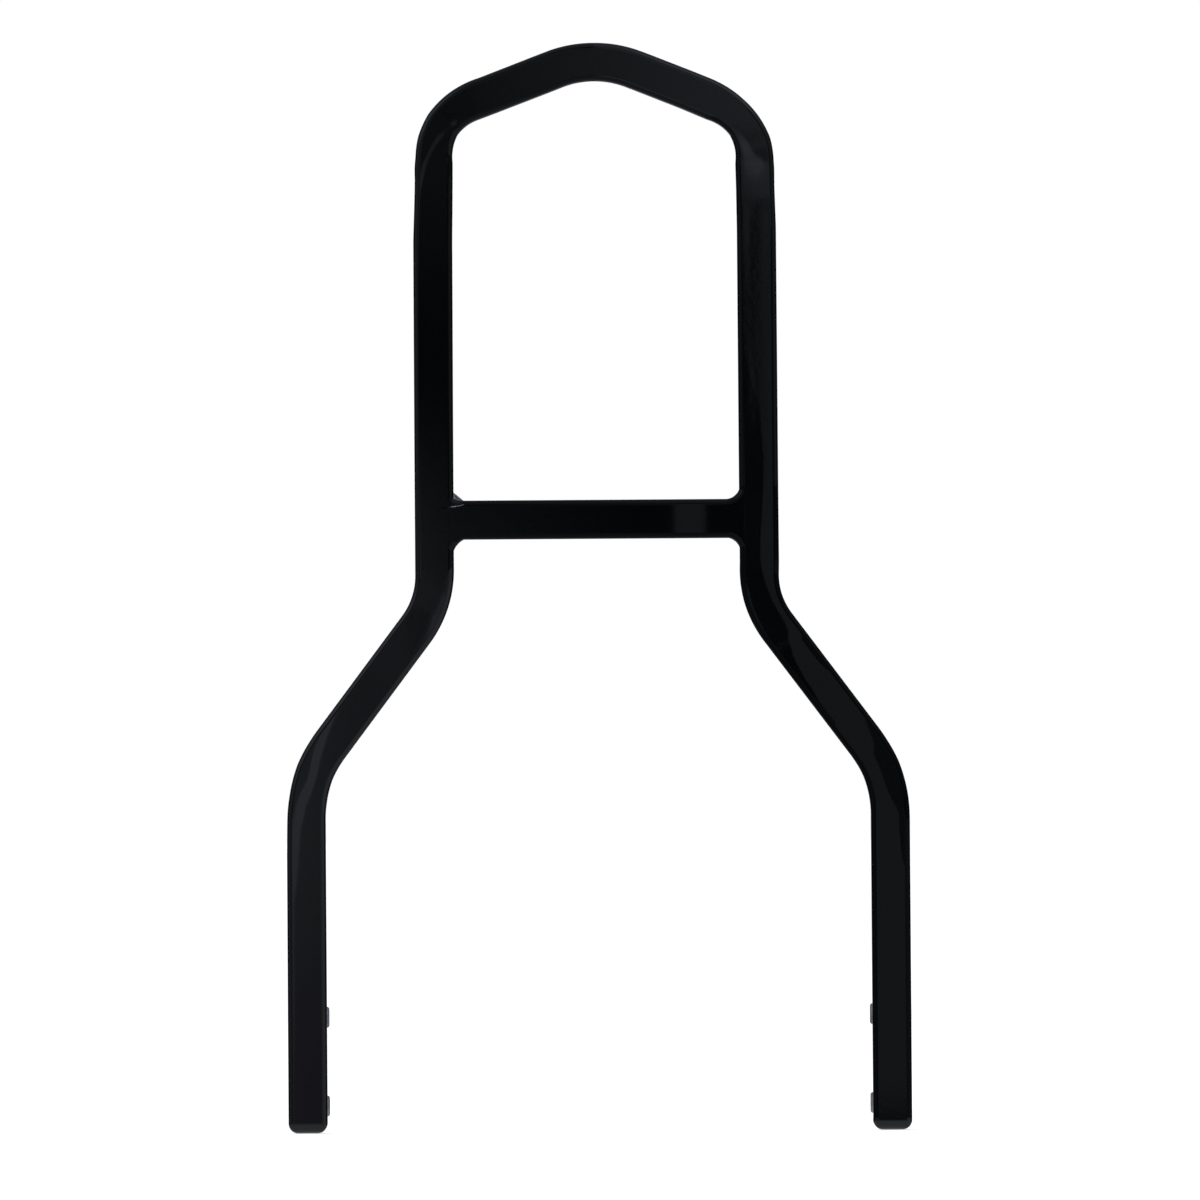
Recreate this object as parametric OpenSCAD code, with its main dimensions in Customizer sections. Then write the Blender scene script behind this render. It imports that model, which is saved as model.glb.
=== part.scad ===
// Backrest upright for a motorcycle: a hoop of bent square steel tube with a welded crossbar
// and threaded inserts in its legs.
// X runs across the hoop, Y through its depth with the front towards -Y, and Z is up.
// The origin lies level with the ends of the legs, midway between them.

/* [Tube] */
// Side of the square tube, across its flats
tube_w = 15.9; // [14:0.1:18]
// Wall thickness of the tube
wall_t = 2; // [1.2:0.1:2.6]
// Outside radius along the tube's long edges
edge_r = 2.2; // [1.4:0.1:2.8]
// Radius in the corners of the tube's bore
bore_corner_r = 0.5; // [0.3:0.1:1.2]

/* [Hoop] */
// Distance between the centrelines of the two uprights
upright_spacing = 132; // [116:1:150]
// Distance between the centrelines of the two legs
leg_spacing = 238.2; // [210:0.1:270]
// Height of the corners of the centreline at the lower knees
lower_knee_z = 144.5; // [100:0.1:180]
// Rise of the centreline from the corners at the lower knees to those at the upper knees
splay_rise = 70.7; // [56:0.1:110]
// Rise of the centreline from the corners at the upper knees to those at the shoulders
upright_rise = 198; // [150:0.1:260]
// Rise of the centreline from the corners at the shoulders to the corner at the apex
peak_rise = 25.6; // [12:0.1:40]
// Bend radius of the centreline at the apex
apex_r = 43.6; // [30:0.1:60]
// Bend radius of the centreline at each shoulder
shoulder_r = 29.4; // [24:0.1:36]
// Bend radius of the centreline at each upper knee
upper_knee_r = 39.8; // [28:0.1:52]
// Bend radius of the centreline at each lower knee
lower_knee_r = 53.6; // [36:0.1:70]

/* [Crossbar] */
// Height of the crossbar's centreline above the corners at the upper knees
crossbar_rise = 34.2; // [31:0.1:85]
// Length of a corner weld along the crossbar and along the upright
weld_leg = 4.5; // [3:0.1:5]
// Radius of the hollow face of a corner weld
weld_face_r = 6; // [5.2:0.1:9]
// Depth at which the ground seams lie below the tube's flats
weld_inset = 0.15; // [0.1:0.05:0.4]

/* [Leg ends] */
// Radius ground round the bottom edges of each leg
end_r = 4; // [2:0.1:6]
// Length of the plug in the end of each leg
plug_l = 6; // [4:0.1:6.5]

/* [Inserts] */
// Height of the lower insert in each leg
lower_insert_z = 11; // [10.8:0.1:20]
// Distance between the two inserts of a leg
insert_pitch = 36.2; // [20:0.1:60]
// Outside diameter of an insert
insert_d = 8.5; // [7.5:0.1:8.6]
// Distance that an insert stands out of the leg's inner face
insert_proud = 1; // [0.5:0.1:3]
// Rounding of the insert's outside rim
insert_rim_r = 0.6; // [0.2:0.1:0.9]
// Bore of an insert before its thread is cut
tap_d = 5; // [4:0.1:5.4]
// Width of the countersink at each end of the thread
tap_lead = 0.4; // [0.2:0.1:0.8]
// Brazing clearance between an insert and its hole, all round
braze_gap = 0.03; // [0.02:0.01:0.08]

/* [Hidden] */
$fn = 96;

left = -1;
right = 1;
gloss_black = [0.03, 0.03, 0.035];
zinc_grey = [0.55, 0.56, 0.58];

// Run past a face that a cut goes through
overrun = 1;

bore_w = tube_w - 2 * wall_t;
upright_x = upright_spacing / 2;
leg_x = leg_spacing / 2;
inner_face_x = upright_x - tube_w / 2;
crossbar_l = 2 * inner_face_x;
insert_l = tube_w + insert_proud;
upper_insert_z = lower_insert_z + insert_pitch;

// Heights of the other corners of the centreline, and of the crossbar, each from the one below
upper_knee_z = lower_knee_z + splay_rise;
shoulder_z = upper_knee_z + upright_rise;
apex_z = shoulder_z + peak_rise;
crossbar_z = upper_knee_z + crossbar_rise;

// Distance of the centre of a weld's hollow face from both of the faces that the weld joins
weld_offset = (weld_leg + sqrt(2 * pow(weld_face_r, 2) - pow(weld_leg, 2))) / 2;

// Nearest angle, to about a hundredth of a degree, whose sine and cosine both hold to six places.
// Turning by it leaves a piece at its true size, so the bends and straights meet exactly.
function clean_angle(angle) =
  let (
    millionths = 1e6,
    reach = 200,
    near = round(millionths * sin(angle)),
    tries = [
      for (s = [near - reach : near + reach])
        let (c = round(sqrt(millionths * millionths - s * s)))
        [abs(norm([s, c]) - millionths), atan2(s, c)]
    ],
    best = min([for (try = tries) try[0]])
  )
  [for (try = tries) if (try[0] == best) try[1]][0];

// Slope of the arms down from the apex, and splay of the stretch between the knees
splay = leg_x - upright_x;
arm_slope = clean_angle(atan2(peak_rise, upright_x));
knee_angle = clean_angle(atan2(splay, splay_rise));
arm_drop = upright_x * tan(arm_slope);
knee_drop = splay / tan(knee_angle);

// Length that a bend takes from the straight on each side of it
function bend_trim(angle, r) = r * tan(angle / 2);
apex_trim = bend_trim(2 * arm_slope, apex_r);
shoulder_trim = bend_trim(90 - arm_slope, shoulder_r);
upper_knee_trim = bend_trim(knee_angle, upper_knee_r);
lower_knee_trim = bend_trim(knee_angle, lower_knee_r);

// Bend table of the right half, from the middle of the apex down to the leg's end. Each row has
// a straight length, then the bend's angle, positive to the inside of the hoop, and its radius.
apex_centreline_z = apex_z - apex_r * (1 / cos(arm_slope) - 1);
arm_straight = norm([upright_x, arm_drop]) - apex_trim - shoulder_trim;
upright_straight = apex_z - arm_drop - upper_knee_z - shoulder_trim - upper_knee_trim;
splay_straight = norm([splay, knee_drop]) - upper_knee_trim - lower_knee_trim;
leg_straight = upper_knee_z - knee_drop - lower_knee_trim;
bend_table = [
  [0, arm_slope, apex_r],
  [arm_straight, 90 - arm_slope, shoulder_r],
  [upright_straight, -knee_angle, upper_knee_r],
  [splay_straight, knee_angle, lower_knee_r]
];
function row_straight(row) = row[0];
function row_turn(row) = row[1];
function row_radius(row) = row[2];
// Where the centre of a row's bend lies across the tube
function row_centre(row) = sign(row_turn(row)) * row_radius(row);

// Square with rounded corners, centred
module rounded_square(w, r) {
  square([w, w - 2 * r], center = true);
  square([w - 2 * r, w], center = true);
  for (x = [-1, 1], y = [-1, 1])
    translate([x * (w / 2 - r), y * (w / 2 - r)])
      circle(r);
}

// Section of the tube's outside
module tube_outline() {
  rounded_square(tube_w, edge_r);
}

// Section of the tube's bore
module bore_outline() {
  rounded_square(bore_w, bore_corner_r);
}

// Carries children past one row of the bend table: they face along the tube, which turns towards +X
module past_bend(row) {
  translate([row_centre(row), 0, row_straight(row)])
    rotate([0, row_turn(row), 0])
      translate([-row_centre(row), 0, 0])
        children();
}

// Places children on the right half's centreline, past the first rows of the bend table
module past_bends(count) {
  if (count == 0)
    translate([0, 0, apex_centreline_z])
      rotate([0, 90, 0])
        children();
  else
    past_bends(count - 1)
      past_bend(bend_table[count - 1])
        children();
}

// Ring of an outline, cut off square where a bend begins and where it ends
module bend(row) {
  reach = 2 * (row_radius(row) + tube_w);
  difference() {
    translate([row_centre(row), 0, row_straight(row)])
      rotate([90, 0, 0])
        rotate_extrude()
          translate([row_radius(row), 0])
            children();
    translate([0, 0, row_straight(row) - reach / 2])
      cube([2 * reach, reach, reach], center = true);
    past_bend(row)
      translate([0, 0, reach / 2])
        cube([2 * reach, reach, reach], center = true);
  }
}

// Outline carried along the right half of the hoop, and past the leg's end by an extra length
module half_sweep(extra) {
  for (i = [0 : len(bend_table) - 1])
    past_bends(i) {
      if (row_straight(bend_table[i]) > 0)
        linear_extrude(row_straight(bend_table[i]))
          children();
      bend(bend_table[i])
        children();
    }
  past_bends(len(bend_table))
    linear_extrude(leg_straight + extra)
      children();
}

// Upright stretch with both bottom edges ground round, seen from one side
module end_profile(h) {
  translate([-tube_w / 2, end_r])
    square([tube_w, h - end_r]);
  translate([end_r - tube_w / 2, 0])
    square([tube_w - 2 * end_r, h]);
  for (x = [-1, 1])
    translate([x * (tube_w / 2 - end_r), end_r])
      circle(end_r);
}

// Block with all four bottom edges ground round, standing on the ends of the legs
module ground_end(h) {
  intersection() {
    rotate([90, 0, 0])
      linear_extrude(tube_w, center = true)
        end_profile(h);
    rotate([90, 0, 90])
      linear_extrude(tube_w, center = true)
        end_profile(h);
  }
}

// What the grinding takes off the end of a leg
module end_waste() {
  w = tube_w + 2 * overrun;
  difference() {
    translate([-w / 2, -w / 2, -overrun])
      cube([w, w, overrun + end_r]);
    ground_end(end_r + overrun);
  }
}

// Places children over the end of the right leg, as the hoop's own bends leave it
module at_leg() {
  past_bends(len(bend_table))
    translate([0, 0, leg_straight])
      rotate([180, 0, 0])
        children();
}

// Grinding and insert holes at the end of the right leg
module leg_cuts() {
  at_leg() {
    end_waste();
    for (z = [lower_insert_z, upper_insert_z])
      translate([0, 0, z])
        rotate([0, 90, 0])
          cylinder(h = tube_w + 2 * overrun, d = insert_d + 2 * braze_gap, center = true);
  }
}

// Right half of the hoop, from the middle of the apex down
module half_hoop() {
  difference() {
    half_sweep(0)
      tube_outline();
    half_sweep(overrun)
      bore_outline();
    leg_cuts();
  }
}

// Bent tube of the hoop, in one piece
module hoop() {
  color(gloss_black) {
    half_hoop();
    mirror([1, 0, 0])
      half_hoop();
  }
}

// Piece of the same tube, cut square to fit between the uprights
module crossbar() {
  color(gloss_black)
    translate([0, 0, crossbar_z])
      rotate([0, 90, 0])
        linear_extrude(crossbar_l, center = true)
          difference() {
            tube_outline();
            bore_outline();
          }
}

// Round cutter for a weld's hollow face, flared so that the weld keeps the tube's edge rounding
module weld_face_cutter() {
  half_w = tube_w / 2;
  rotate([90, 0, 0])
    rotate_extrude() {
      translate([0, -half_w])
        square([weld_face_r, tube_w]);
      for (y = [-1, 1])
        difference() {
          translate([weld_face_r, y > 0 ? half_w - edge_r : -half_w])
            square(edge_r);
          translate([weld_face_r + edge_r, y * (half_w - edge_r)])
            circle(edge_r);
        }
    }
}

// Weld all round one end of the crossbar, hollow in the corners and ground level in front and behind
module weld(side) {
  depth = tube_w - 2 * weld_inset;
  height = tube_w + 2 * weld_offset;
  color(gloss_black)
    difference() {
      translate([side * (inner_face_x + (edge_r - weld_offset) / 2), 0, crossbar_z])
        cube([weld_offset + edge_r, depth, height], center = true);
      for (z = [-1, 1])
        translate([side * (inner_face_x - weld_offset), 0, crossbar_z + z * (tube_w / 2 + weld_offset)])
          weld_face_cutter();
      translate([side * upright_x, 0, crossbar_z - height])
        linear_extrude(2 * height)
          tube_outline();
      translate([0, 0, crossbar_z])
        rotate([0, 90, 0])
          linear_extrude(crossbar_l, center = true)
            tube_outline();
    }
}

// Plug that fills the bore at a leg's end and is ground round with it
module plug(side) {
  color(gloss_black)
    translate([side * leg_x, 0, 0])
      intersection() {
        linear_extrude(plug_l)
          bore_outline();
        ground_end(plug_l + overrun);
      }
}

// Turned insert through both walls of a leg, level outside and proud of the inner face
module insert(side, z) {
  insert_r = insert_d / 2;
  color(zinc_grey)
    translate([side * (leg_x + tube_w / 2), 0, z])
      rotate([0, -side * 90, 0])
        difference() {
          rotate_extrude() {
            square([insert_r, insert_l - insert_rim_r]);
            square([insert_r - insert_rim_r, insert_l]);
            translate([insert_r - insert_rim_r, insert_l - insert_rim_r])
              circle(insert_rim_r);
          }
          translate([0, 0, -overrun])
            cylinder(h = insert_l + 2 * overrun, d = tap_d);
          cylinder(h = tap_lead, d1 = tap_d + 2 * tap_lead, d2 = tap_d);
          translate([0, 0, insert_l - tap_lead])
            cylinder(h = tap_lead, d1 = tap_d, d2 = tap_d + 2 * tap_lead);
        }
}

hoop();
crossbar();
weld(left);  // left_weld
weld(right);  // right_weld
plug(left);  // left_plug
plug(right);  // right_plug
insert(left, upper_insert_z);  // left_upper_insert
insert(left, lower_insert_z);  // left_lower_insert
insert(right, upper_insert_z);  // right_upper_insert
insert(right, lower_insert_z);  // right_lower_insert
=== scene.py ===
"""Looks of the sissy bar: gloss black coat over bent square tube, weld beads and zinc-grey threaded inserts.

Everything is in metres in the part's own frame: +X across the hoop, -Y out of the front, +Z up.
"""

import math

import bmesh
import bpy
import numpy as np
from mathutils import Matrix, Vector, noise


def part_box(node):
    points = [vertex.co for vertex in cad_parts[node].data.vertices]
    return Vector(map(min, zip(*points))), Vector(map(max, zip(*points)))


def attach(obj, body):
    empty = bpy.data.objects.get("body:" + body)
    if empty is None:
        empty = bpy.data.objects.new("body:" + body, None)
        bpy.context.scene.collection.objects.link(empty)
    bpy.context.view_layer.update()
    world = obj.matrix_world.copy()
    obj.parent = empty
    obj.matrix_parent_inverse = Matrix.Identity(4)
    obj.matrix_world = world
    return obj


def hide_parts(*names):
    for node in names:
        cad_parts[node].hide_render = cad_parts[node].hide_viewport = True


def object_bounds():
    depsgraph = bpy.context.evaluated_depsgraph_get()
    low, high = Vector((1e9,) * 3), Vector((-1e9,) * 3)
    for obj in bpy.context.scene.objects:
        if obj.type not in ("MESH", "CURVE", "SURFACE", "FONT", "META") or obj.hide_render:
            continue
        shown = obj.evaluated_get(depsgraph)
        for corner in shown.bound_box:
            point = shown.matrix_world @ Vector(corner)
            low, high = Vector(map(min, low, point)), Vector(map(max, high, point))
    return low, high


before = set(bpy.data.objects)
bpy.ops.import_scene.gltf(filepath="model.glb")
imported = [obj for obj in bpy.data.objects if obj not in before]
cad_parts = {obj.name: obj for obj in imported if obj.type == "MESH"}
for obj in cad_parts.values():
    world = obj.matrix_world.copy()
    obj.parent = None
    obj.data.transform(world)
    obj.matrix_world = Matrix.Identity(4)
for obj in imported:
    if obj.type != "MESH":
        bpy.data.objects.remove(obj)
cad_lo, cad_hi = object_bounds()

MM = 0.001

# Driving dimensions, from the frame
crossbar_lo, crossbar_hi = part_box("crossbar")
insert_lo, insert_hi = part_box("right_lower_insert")
upper_insert_lo, upper_insert_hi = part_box("right_upper_insert")
plug_lo, plug_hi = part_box("right_plug")
HALF_W = (crossbar_hi.y - crossbar_lo.y) / 2
BORE_HALF = (plug_hi.y - plug_lo.y) / 2
CROSSBAR_Z = (crossbar_hi.z + crossbar_lo.z) / 2
JOINT_X = crossbar_hi.x
UPRIGHT_X = JOINT_X + HALF_W
LEG_X = cad_hi.x - HALF_W
INSERT_Z = [(lo.z + hi.z) / 2 for lo, hi in ((insert_lo, insert_hi), (upper_insert_lo, upper_insert_hi))]
INSERT_R = (insert_hi.z - insert_lo.z) / 2
INSERT_L = insert_hi.x - insert_lo.x
PLUG_DEPTH = plug_hi.z - plug_lo.z

# The hoop's centreline: corners of its right half from the apex down
PEAK_Z = 438.8 * MM
SHOULDER_Z = 413.2 * MM
UPPER_KNEE_Z = 215.2 * MM
LOWER_KNEE_Z = 144.5 * MM
CORNERS = [
    (0.0, PEAK_Z),
    (UPRIGHT_X, SHOULDER_Z),
    (UPRIGHT_X, UPPER_KNEE_Z),
    (LEG_X, LOWER_KNEE_Z),
    (LEG_X, 0.0),
]
# Radius of each bend on its middle line, and on the hoop's outer and inner side, where the tube is drawn in
BEND_R = {
    "centre": [43.6 * MM, 29.4 * MM, 39.8 * MM, 53.6 * MM],
    "outer": [52.8 * MM, 41.1 * MM, 27.3 * MM, 63.5 * MM],
    "inner": [35.4 * MM, 17.1 * MM, 50.0 * MM, 41.7 * MM],
}

# Rounding of the tube's edges, of its ends and of the bore's corners
EDGE_R = 2.2 * MM
END_R = 4.0 * MM
BORE_CORNER_R = 0.5 * MM
# Gap round the plugs and the inserts
CLEARANCE = 0.03 * MM
# Half depth of the crossbar and of the welds, each a hair less than that of the hoop
BAR_LEVEL = HALF_W - 0.02 * MM
SEAM_LEVEL = HALF_W - 0.01 * MM

# Heights at which the edges' dimmed coat, which paints shade, changes: above the ends' rounding, on the
# right, and on the left
ENDS_COAT_Z = 1.2 * END_R
RIGHT_COAT_Z = 262 * MM
LEFT_COAT_Z = 390 * MM


# Materials

# Fineness of each pattern, per metre
GLOSS_SCALE = 90.0
SWELL_SCALE = 420.0
TINT_SCALE = 260.0
DULL_SCALE = 700.0
SPECK_SCALE = 900.0
TOOL_RING_SCALE = 2200.0

WHITE = (1, 1, 1, 1)
BLACK = (0.0012, 0.0014, 0.0017, 1)
ZINC = [(0.22, 0.20, 0.24, 1), (0.40, 0.40, 0.42, 1)]
# Dark specks and light purple grey of the weld metal that paints a highlight on the left weld
WELD_HIGHLIGHT_METAL = [(0.01, 0.01, 0.012, 1), (0.24, 0.22, 0.27, 1)]
# Share of the noise up to which the weld metal is dark, and from which it is light
SPECK_PLACES = (0.36, 0.5)


def new_material(name):
    """An empty node material, with its node tree and its output node."""
    material = bpy.data.materials.new(name)
    material.use_nodes = True
    tree = material.node_tree
    tree.nodes.clear()
    out = tree.nodes.new("ShaderNodeOutputMaterial")
    return material, tree, out


def add_node(tree, kind, values=None, **settings):
    """One node with its settings and input values."""
    node = tree.nodes.new(kind)
    for key, value in settings.items():
        setattr(node, key, value)
    for key, value in (values or {}).items():
        node.inputs[key].default_value = value
    return node


def noise_field(tree, coords, scale, detail=3.0):
    """Noise over the surface, at a scale per metre."""
    field = add_node(tree, "ShaderNodeTexNoise", {"Scale": scale, "Detail": detail})
    tree.links.new(coords.outputs["Object"], field.inputs["Vector"])
    return field.outputs["Fac"]


def noise_range(tree, coords, scale, low, high):
    """Noise over the surface, at a scale per metre, mapped to a range."""
    ranged = add_node(tree, "ShaderNodeMapRange", {"To Min": low, "To Max": high})
    tree.links.new(noise_field(tree, coords, scale), ranged.inputs["Value"])
    return ranged.outputs["Result"]


def colour_ramp(tree, share, colours, places=(0.0, 1.0)):
    """From one colour to another as a share goes from the first place to the second."""
    ramp = tree.nodes.new("ShaderNodeValToRGB")
    for stop, colour, place in zip(ramp.color_ramp.elements, colours, places):
        stop.color = colour
        stop.position = place
    tree.links.new(share, ramp.inputs["Fac"])
    return ramp.outputs["Color"]


def mix_shaders(tree, share, first, second):
    """The first shader where the share is 0, and the second where it is 1."""
    node = tree.nodes.new("ShaderNodeMixShader")
    for socket, source in zip(node.inputs, (share, first, second)):
        tree.links.new(source, socket)
    return node.outputs[0]


def finish_surface(tree, shader, out, height, strength, distance):
    """Gives a shader its bump, and makes it the material's surface."""
    bump = add_node(tree, "ShaderNodeBump", {"Strength": strength, "Distance": distance})
    tree.links.new(height, bump.inputs["Height"])
    tree.links.new(bump.outputs["Normal"], shader.inputs["Normal"])
    tree.links.new(shader.outputs["BSDF"], out.inputs["Surface"])


def black_coat(name, peel, dullest, ior=1.5):
    """Gloss black coat: deep black, slightly uneven gloss and the fine swell of sprayed lacquer."""
    material, tree, out = new_material(name)
    coords = add_node(tree, "ShaderNodeTexCoord")
    shader = add_node(tree, "ShaderNodeBsdfPrincipled", {"Base Color": BLACK, "IOR": ior})
    gloss = noise_range(tree, coords, GLOSS_SCALE, dullest / 2, dullest)
    tree.links.new(gloss, shader.inputs["Roughness"])
    swell = noise_field(tree, coords, SWELL_SCALE, detail=2.0)
    finish_surface(tree, shader, out, swell, strength=peel, distance=0.01 * MM)
    return material


def plated_steel():
    """Dull zinc plate over turned steel: grey with a faint purple cast, and fine tool rings."""
    material, tree, out = new_material("plated_steel")
    coords = add_node(tree, "ShaderNodeTexCoord")
    shader = add_node(tree, "ShaderNodeBsdfPrincipled", {"Metallic": 0.7})
    tint = noise_range(tree, coords, TINT_SCALE, 0.0, 1.0)
    tree.links.new(colour_ramp(tree, tint, ZINC), shader.inputs["Base Color"])
    dull = noise_range(tree, coords, DULL_SCALE, 0.28, 0.46)
    tree.links.new(dull, shader.inputs["Roughness"])
    waves = {"Scale": TOOL_RING_SCALE, "Distortion": 1.5}
    rings = add_node(tree, "ShaderNodeTexWave", waves, bands_direction="X")
    tree.links.new(coords.outputs["Object"], rings.inputs["Vector"])
    finish_surface(tree, shader, out, rings.outputs["Fac"], strength=0.25, distance=0.02 * MM)
    return material


def weld_highlight_metal():
    """Dull, light purple-grey weld metal with dark specks, which paints a highlight."""
    material, tree, out = new_material("weld_highlight_metal")
    coords = add_node(tree, "ShaderNodeTexCoord")
    shader = add_node(tree, "ShaderNodeBsdfPrincipled", {"Metallic": 0.3})
    specks = noise_range(tree, coords, SPECK_SCALE, 0.0, 1.0)
    tree.links.new(colour_ramp(tree, specks, WELD_HIGHLIGHT_METAL, SPECK_PLACES), shader.inputs["Base Color"])
    dull = noise_range(tree, coords, DULL_SCALE, 0.4, 0.6)
    tree.links.new(dull, shader.inputs["Roughness"])
    finish_surface(tree, shader, out, specks, strength=0.3, distance=0.05 * MM)
    return material


COAT = black_coat("black_coat", peel=0.04, dullest=0.02)
BAR_COAT = black_coat("bar_coat", peel=0.008, dullest=0.01)
# Copies of the coat with a lower IOR, whose weaker reflection paints shade along some edges
SHADED_EDGE_COAT = black_coat("shaded_edge_coat", peel=0.04, dullest=0.03, ior=1.34)
DEEP_SHADED_EDGE_COAT = black_coat("deep_shaded_edge_coat", peel=0.04, dullest=0.03, ior=1.2)
WELD_COAT = black_coat("weld_coat", peel=0.3, dullest=0.12)
# Painted highlight on the left weld's upper face and crease
WELD_HIGHLIGHT = weld_highlight_metal()
STEEL = plated_steel()


# Meshes

# Angle in degrees from which an edge is shaded sharp
TUBE_SHARP = 40.0
BUSH_SHARP = 30.0
WELD_SHARP = 25.0
# How far a face's normal points to the front or back: more than on a side, and less than on a flat
OFF_SIDE = 0.03
OFF_FLAT = 0.999


def make_piece(name, points, faces, material, nodes, sharp=TUBE_SHARP):
    """A smooth-shaded mesh piece that rides on the one body and stands for CAD nodes."""
    mesh = bpy.data.meshes.new(name)
    mesh.from_pydata([tuple(p) for p in points], [], faces)
    mesh.validate()
    shell = bmesh.new()
    shell.from_mesh(mesh)
    bmesh.ops.recalc_face_normals(shell, faces=shell.faces)
    shell.to_mesh(mesh)
    shell.free()
    mesh.polygons.foreach_set("use_smooth", [True] * len(mesh.polygons))
    mesh.set_sharp_from_angle(angle=math.radians(sharp))
    mesh.materials.append(material)
    piece = bpy.data.objects.new(name, mesh)
    bpy.context.scene.collection.objects.link(piece)
    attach(piece, "root")
    if nodes:
        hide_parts(*nodes)
    return piece


def coat_edges(piece, material, holds):
    """Coats the rounded edges between front or back and sides with a dimmed coat that paints shade, where
    holds(place, normal) is true.
    """
    piece.data.materials.append(material)
    place = len(piece.data.materials) - 1
    for face in piece.data.polygons:
        if OFF_SIDE < abs(face.normal.y) < OFF_FLAT and holds(face.center, face.normal):
            face.material_index = place


def tube_faces(ring_count, ring_size, closed_rings=False):
    """Quads between rings of points that follow each other."""
    faces = []
    spans = ring_count if closed_rings else ring_count - 1
    for i in range(spans):
        j = (i + 1) % ring_count
        for k in range(ring_size):
            m = (k + 1) % ring_size
            faces.append((i * ring_size + k, i * ring_size + m, j * ring_size + m, j * ring_size + k))
    return faces


def closed_stack(rings):
    """Points and faces of a tube through rings of points, closed by a fan at each end."""
    size = len(rings[0])
    points = np.concatenate(rings)
    faces = tube_faces(len(rings), size)
    for first in (0, (len(rings) - 1) * size):
        centre = points[first : first + size].mean(axis=0)
        points = np.vstack([points, centre])
        hub = len(points) - 1
        faces += [(first + k, first + (k + 1) % size, hub) for k in range(size)]
    return points, faces


# The tube's middle line and its edges

# Spacing of the points on the lines, and of the rings along the tube
LINE_STEP = 0.1 * MM
RING_STEP = 1.2 * MM
# Half the stretch over which the way of the tube is taken
PROBE = 0.4 * MM
# An edge further off than this belongs to another stretch of the tube
EDGE_SEARCH = 1.6 * HALF_W


def straight_points(start, end, step):
    """Points from start to end, without the first."""
    count = max(1, math.ceil(np.linalg.norm(end - start) / step))
    return [start + (end - start) * k / count for k in range(1, count + 1)]


def rounded_path(corners, radii, step):
    """Points about a step apart along a line with rounded corners."""
    corners = [np.array(c, float) for c in corners]
    points = [corners[0]]
    for before, corner, after, radius in zip(corners, corners[1:], corners[2:], radii):
        a = (before - corner) / np.linalg.norm(before - corner)
        b = (after - corner) / np.linalg.norm(after - corner)
        opening = math.acos(np.clip(a @ b, -1, 1))
        trim = radius / math.tan(opening / 2)
        start, end = corner + a * trim, corner + b * trim
        middle = corner + (a + b) / np.linalg.norm(a + b) * radius / math.sin(opening / 2)
        points += straight_points(points[-1], start, step)
        turn = math.pi - opening
        count = max(2, math.ceil(turn * radius / step))
        u = (start - middle) / radius
        v = (end - middle) / radius
        w = (v - u * math.cos(turn)) / math.sin(turn)
        for k in range(1, count + 1):
            angle = turn * k / count
            points.append(middle + radius * (u * math.cos(angle) + w * math.sin(angle)))
    points += straight_points(points[-1], corners[-1], step)
    return np.array(points)


def offset_corners(corners, distance):
    """Corners of the line that runs beside another, outwards for a distance above nought."""
    moved = []
    for i, corner in enumerate(corners):
        here = np.array(corner, float)
        ways = []
        if i > 0:
            ways.append(here - np.array(corners[i - 1], float))
        if i < len(corners) - 1:
            ways.append(np.array(corners[i + 1], float) - here)
        if i == 0:
            mirrored = ways[0] * np.array([1, -1])
            ways.insert(0, mirrored)
        normals = [np.array([-w[1], w[0]]) / np.linalg.norm(w) for w in ways]
        mean = sum(normals) / len(normals)
        moved.append(here + mean / (mean @ mean) * distance)
    return moved


def hoop_line(side):
    """Dense points along the hoop's middle line or an edge, from the left shoulder to the right leg."""
    distance = {"centre": 0.0, "outer": HALF_W, "inner": -HALF_W}[side]
    corners = offset_corners(CORNERS, distance)
    left_shoulder = corners[1] * np.array([-1, 1])
    return rounded_path([left_shoulder, *corners], BEND_R[side], LINE_STEP)


def resample(line, step):
    """Even spots down the right half of a line, the way it runs there, and the distance from the apex."""
    s = np.concatenate([[0.0], np.cumsum(np.linalg.norm(np.diff(line, axis=0), axis=1))])
    apex = s[np.argmax(line[:, 0] >= 0)]
    length = s[-1] - apex
    stations = np.linspace(0, length, math.ceil(length / step) + 1)

    def at(distance):
        return np.column_stack([np.interp(apex + distance, s, line[:, i]) for i in (0, 1)])

    ways = at(stations + PROBE) - at(stations - PROBE)
    return at(stations), ways / np.linalg.norm(ways, axis=1)[:, None], stations


def reach_to(edge, spots, ways):
    """Distance from each spot, square to its way, to an edge line."""
    reaches = []
    for spot, way in zip(spots, ways):
        lead = (edge - spot) @ way
        side = np.abs((edge - spot) @ np.array([-way[1], way[0]]))
        crossings = np.nonzero((lead[:-1] <= 0) & (lead[1:] > 0) & (side[:-1] < EDGE_SEARCH))[0]
        if len(crossings) == 0:
            reaches.append(HALF_W)
            continue
        k = crossings[np.argmin(side[crossings])]
        share = -lead[k] / (lead[k + 1] - lead[k])
        reaches.append(side[k] + share * (side[k + 1] - side[k]))
    return np.array(reaches)


# The tube's section, as a ring of points

FRONT_STEPS = 32
BACK_STEPS = 12
WALL_STEPS = 8
EDGE_STEPS = 7
# Distance from a flat's ends of the points that keep its shading flat
HOLD = 0.02 * MM


def edge_arc(u, v, r, start):
    """Points between the ends of a quarter circle."""
    angles = [math.radians(start + 90 * k / EDGE_STEPS) for k in range(1, EDGE_STEPS)]
    return [(u + r * math.cos(a), v + r * math.sin(a)) for a in angles]


def flat_points(start, end, steps):
    """Even places along a flat, with one more close to each end."""
    even = list(np.linspace(start, end, steps + 1))
    return [even[0], even[0] + HOLD, *even[1:-1], even[-1] - HOLD, even[-1]]


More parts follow.
